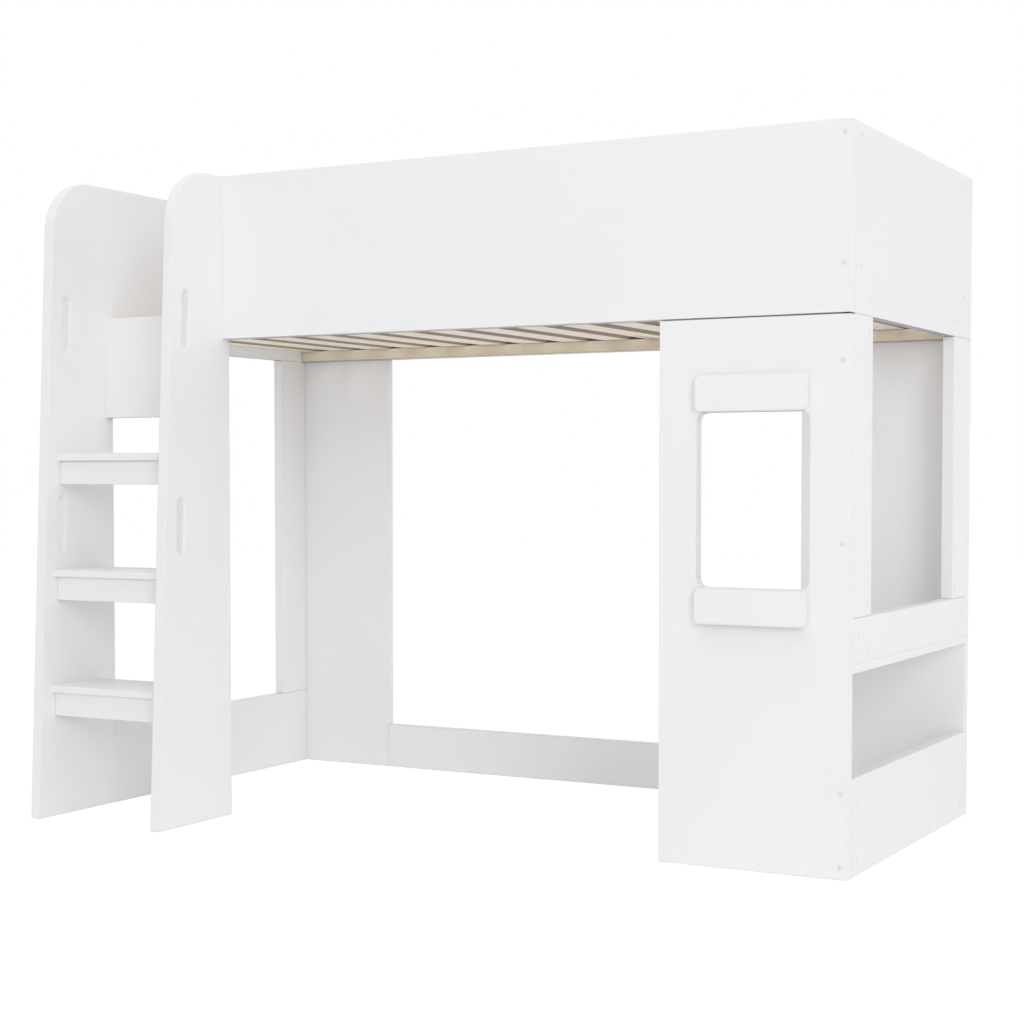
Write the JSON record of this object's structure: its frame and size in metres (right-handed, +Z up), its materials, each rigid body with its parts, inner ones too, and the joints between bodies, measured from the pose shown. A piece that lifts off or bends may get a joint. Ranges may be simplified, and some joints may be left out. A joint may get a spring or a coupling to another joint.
{
  "type": "loft bed",
  "caption": "Raised bed of white lacquered boards with high guards, treads between side panels at the front left, a window panel at the front right, a shelf and slats.",
  "frame": {"origin": "centre of the bed's outline, stairs included, on the floor", "axes": "+X along the bed towards the end with the window panel, +Y from the front with the stairs to the rear, +Z up"},
  "size_m": [2.1, 1.229, 1.65],
  "materials": {
    "white_lacquer": "satin white lacquer on fibreboard",
    "pine": "bare planed pine",
    "white_zinc": "zinc fitting with a white painted face",
    "steel": "bright zinc-plated steel",
    "beech": "bare fluted beech"
  },
  "bodies": {
    "root": {"front_guard": "white_lacquer", "window_panel": "white_lacquer", "window_lintel": "white_lacquer", "window_sill": "white_lacquer", "right_end_guard": "white_lacquer", "right_front_strip": "white_lacquer", "right_rear_strip": "white_lacquer", "right_upper_rail": "white_lacquer", "side_shelf": "white_lacquer", "right_bottom_rail": "white_lacquer", "rear_guard": "white_lacquer", "rear_right_leg": "white_lacquer", "rear_left_leg": "white_lacquer", "rear_bottom_rail": "white_lacquer", "left_end_guard": "white_lacquer", "left_rear_strip": "white_lacquer", "left_bottom_rail": "white_lacquer", "left_stair_panel": "white_lacquer", "right_stair_panel": "white_lacquer", "lower_tread": "white_lacquer", "middle_tread": "white_lacquer", "upper_tread": "white_lacquer", "lower_stiffener": "white_lacquer", "middle_stiffener": "white_lacquer", "upper_stiffener": "white_lacquer", "entry_board": "white_lacquer", "front_ledger": "pine", "rear_ledger": "pine", "bed_slats": "pine", "end_slat": "pine", "right_end_cams": "white_zinc", "frame_cams": "white_zinc", "stair_cams": "white_zinc", "frame_screws": "white_zinc", "cam_dowels": "steel", "cam_links": "steel", "slat_screws": "steel", "trim_screws": "steel", "stiffener_dowels": "beech", "ledger_dowels": "beech"}
  },
  "joints": []
}
